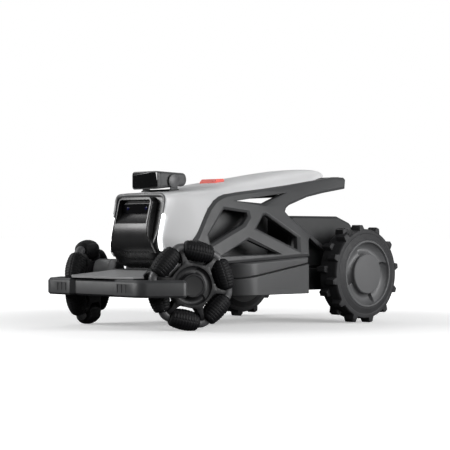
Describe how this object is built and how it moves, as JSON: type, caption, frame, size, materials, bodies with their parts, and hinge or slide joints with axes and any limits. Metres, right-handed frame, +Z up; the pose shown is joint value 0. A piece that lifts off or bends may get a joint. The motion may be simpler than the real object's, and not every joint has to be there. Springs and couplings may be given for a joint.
{
  "type": "robotic lawn mower",
  "caption": "Robotic lawn mower with toed-in omni-wheels in front, lugged drive wheels behind, open truss side frames, a tilting camera and a cutting disc that can be raised.",
  "frame": {"origin": "on the ground under the middle of the machine's length and width", "axes": "+Z up, +Y towards the rear along the machine's length, +X towards the machine's left side"},
  "size_m": [0.47, 0.7324, 0.3569],
  "materials": {
    "silver_hood": "satin silver paint on a moulded hood",
    "graphite_plastic": "fine-grained moulded plastic",
    "charcoal_plastic": "matt moulded plastic",
    "roller_rubber": "ribbed rubber",
    "tyre_rubber": "moulded rubber with block lugs",
    "gloss_black": "polished black",
    "black_glass": "dark tinted window",
    "lens_blue": "coated lens",
    "light_white": "lit diffuser",
    "stop_coral": "satin coral red",
    "motor_grey": "bead-blasted casing",
    "steel": "ground steel",
    "battery_wrap": "wrapped cell pack",
    "circuit_green": "solder mask",
    "brass": "plated contact"
  },
  "bodies": {
    "chassis": {"chassis_tub": "charcoal_plastic", "upper_housing": "charcoal_plastic", "skirt_lower_left": "graphite_plastic", "skirt_upper_left": "graphite_plastic", "side_frame_left": "graphite_plastic", "skirt_lower_right": "graphite_plastic", "skirt_upper_right": "graphite_plastic", "side_frame_right": "graphite_plastic", "hood_shell": "silver_hood", "rear_cover": "charcoal_plastic", "tail_crossbar": "graphite_plastic", "fascia": "gloss_black", "vision_bar": "black_glass", "vision_lens_left": "lens_blue", "vision_lens_right": "lens_blue", "light_strip_left": "light_white", "light_strip_right": "light_white", "front_deck_plate": "graphite_plastic", "camera_yoke": "charcoal_plastic", "front_gear_motor_left": "motor_grey", "front_gear_motor_right": "motor_grey", "rear_gear_motor_left": "motor_grey", "rear_gear_motor_right": "motor_grey", "battery_pack": "battery_wrap", "control_board": "circuit_green", "charge_contact_left": "brass", "charge_contact_right": "brass"},
    "bumper": {"bumper": "graphite_plastic"},
    "top_camera": {"camera_housing": "graphite_plastic", "camera_window": "black_glass"},
    "stop_button": {"stop_button": "stop_coral"},
    "front_wheel_left": {"omni_hub_left": "charcoal_plastic", "omni_hub_cap_left": "gloss_black"},
    "roller_1_left": {"omni_roller_1_left": "roller_rubber"},
    "roller_2_left": {"omni_roller_2_left": "roller_rubber"},
    "roller_3_left": {"omni_roller_3_left": "roller_rubber"},
    "roller_4_left": {"omni_roller_4_left": "roller_rubber"},
    "roller_5_left": {"omni_roller_5_left": "roller_rubber"},
    "roller_6_left": {"omni_roller_6_left": "roller_rubber"},
    "rear_wheel_left": {"drive_tyre_left": "tyre_rubber", "drive_rim_left": "charcoal_plastic", "hub_disc_left": "graphite_plastic"},
    "front_wheel_right": {"omni_hub_right": "charcoal_plastic", "omni_hub_cap_right": "gloss_black"},
    "roller_1_right": {"omni_roller_1_right": "roller_rubber"},
    "roller_2_right": {"omni_roller_2_right": "roller_rubber"},
    "roller_3_right": {"omni_roller_3_right": "roller_rubber"},
    "roller_4_right": {"omni_roller_4_right": "roller_rubber"},
    "roller_5_right": {"omni_roller_5_right": "roller_rubber"},
    "roller_6_right": {"omni_roller_6_right": "roller_rubber"},
    "rear_wheel_right": {"drive_tyre_right": "tyre_rubber", "drive_rim_right": "charcoal_plastic", "hub_disc_right": "graphite_plastic"},
    "cutting_unit": {"lift_carriage": "charcoal_plastic", "blade_motor": "motor_grey"},
    "lift_screw": {"lift_screw": "steel"},
    "blade_disc": {"blade_disc": "charcoal_plastic"},
    "blade_1": {"blade_1": "steel"},
    "blade_2": {"blade_2": "steel"},
    "blade_3": {"blade_3": "steel"}
  },
  "joints": [
    {"name": "bumper_float", "type": "slide", "parent": "chassis", "child": "bumper", "axis": [0, 1, 0], "range_m": [0, 0.004], "stiffness_N_per_m": 1500},
    {"name": "camera_tilt", "type": "hinge", "parent": "chassis", "child": "top_camera", "pos_m": [0, -0.1733, 0.3196], "axis": [1, 0, 0], "range_deg": [-5, 5]},
    {"name": "stop_press", "type": "slide", "parent": "chassis", "child": "stop_button", "axis": [0, 0, -1], "range_m": [0, 0.004], "stiffness_N_per_m": 300},
    {"name": "front_wheel_left_spin", "type": "hinge", "parent": "chassis", "child": "front_wheel_left", "pos_m": [0.1745, -0.2383, 0.0953], "axis": [0.891, -0.454, 0], "continuous": true},
    {"name": "roller_1_left_spin", "type": "hinge", "parent": "front_wheel_left", "child": "roller_1_left", "pos_m": [0.20602, -0.17644, 0.11786], "axis": [-0.1403, -0.2753, 0.9511], "continuous": true},
    {"name": "roller_2_left_spin", "type": "hinge", "parent": "front_wheel_left", "child": "roller_2_left", "pos_m": [0.18139, -0.22478, 0.1667], "axis": [-0.4441, -0.8715, 0.2079], "continuous": true},
    {"name": "roller_3_left_spin", "type": "hinge", "parent": "front_wheel_left", "child": "roller_3_left", "pos_m": [0.14987, -0.28664, 0.14415], "axis": [-0.3038, -0.5962, -0.7431], "continuous": true},
    {"name": "roller_4_left_spin", "type": "hinge", "parent": "front_wheel_left", "child": "roller_4_left", "pos_m": [0.14298, -0.30016, 0.07274], "axis": [0.1403, 0.2753, -0.9511], "continuous": true},
    {"name": "roller_5_left_spin", "type": "hinge", "parent": "front_wheel_left", "child": "roller_5_left", "pos_m": [0.16761, -0.25182, 0.02389], "axis": [0.4441, 0.8715, -0.2079], "continuous": true},
    {"name": "roller_6_left_spin", "type": "hinge", "parent": "front_wheel_left", "child": "roller_6_left", "pos_m": [0.19913, -0.18996, 0.04645], "axis": [0.3038, 0.5962, 0.7431], "continuous": true},
    {"name": "rear_wheel_left_spin", "type": "hinge", "parent": "chassis", "child": "rear_wheel_left", "pos_m": [0.2035, 0.2537, 0.1125], "axis": [1, 0, 0], "continuous": true},
    {"name": "front_wheel_right_spin", "type": "hinge", "parent": "chassis", "child": "front_wheel_right", "pos_m": [-0.1745, -0.2383, 0.0953], "axis": [0.891, 0.454, 0], "continuous": true},
    {"name": "roller_1_right_spin", "type": "hinge", "parent": "front_wheel_right", "child": "roller_1_right", "pos_m": [-0.2023, -0.18375, 0.13506], "axis": [0.2473, -0.4853, 0.8387], "continuous": true},
    {"name": "roller_2_right_spin", "type": "hinge", "parent": "front_wheel_right", "child": "roller_2_right", "pos_m": [-0.17277, -0.2417, 0.1682], "axis": [0.4534, -0.8898, -0.0523], "continuous": true},
    {"name": "roller_3_right_spin", "type": "hinge", "parent": "front_wheel_right", "child": "roller_3_right", "pos_m": [-0.14497, -0.29625, 0.12844], "axis": [0.2061, -0.4045, -0.891], "continuous": true},
    {"name": "roller_4_right_spin", "type": "hinge", "parent": "front_wheel_right", "child": "roller_4_right", "pos_m": [-0.14671, -0.29285, 0.05554], "axis": [-0.2473, 0.4853, -0.8387], "continuous": true},
    {"name": "roller_5_right_spin", "type": "hinge", "parent": "front_wheel_right", "child": "roller_5_right", "pos_m": [-0.17623, -0.2349, 0.0224], "axis": [-0.4534, 0.8898, 0.0523], "continuous": true},
    {"name": "roller_6_right_spin", "type": "hinge", "parent": "front_wheel_right", "child": "roller_6_right", "pos_m": [-0.20403, -0.18035, 0.06216], "axis": [-0.2061, 0.4045, 0.891], "continuous": true},
    {"name": "rear_wheel_right_spin", "type": "hinge", "parent": "chassis", "child": "rear_wheel_right", "pos_m": [-0.2035, 0.2537, 0.1125], "axis": [1, 0, 0], "continuous": true},
    {"name": "cutting_height", "type": "slide", "parent": "chassis", "child": "cutting_unit", "axis": [0, 0, -1], "range_m": [0, 0.045]},
    {"name": "lift_screw_spin", "type": "hinge", "parent": "chassis", "child": "lift_screw", "pos_m": [0, 0.056, 0.15], "axis": [0, 0, 1], "range_deg": [0, 720]},
    {"name": "blade_disc_spin", "type": "hinge", "parent": "cutting_unit", "child": "blade_disc", "pos_m": [0, 0.008, 0.087], "axis": [0, 0, 1], "continuous": true},
    {"name": "blade_1_swing", "type": "hinge", "parent": "blade_disc", "child": "blade_1", "pos_m": [0.066, 0.008, 0.083], "axis": [0, 0, 1], "range_deg": [-90, 90]},
    {"name": "blade_2_swing", "type": "hinge", "parent": "blade_disc", "child": "blade_2", "pos_m": [-0.033, 0.06516, 0.083], "axis": [0, 0, 1], "range_deg": [-90, 90]},
    {"name": "blade_3_swing", "type": "hinge", "parent": "blade_disc", "child": "blade_3", "pos_m": [-0.033, -0.04916, 0.083], "axis": [0, 0, 1], "range_deg": [-90, 90]}
  ],
  "couplings": [
    {"joint": "lift_screw_spin", "follows": "cutting_height", "rad_per_m": 279.25}
  ]
}
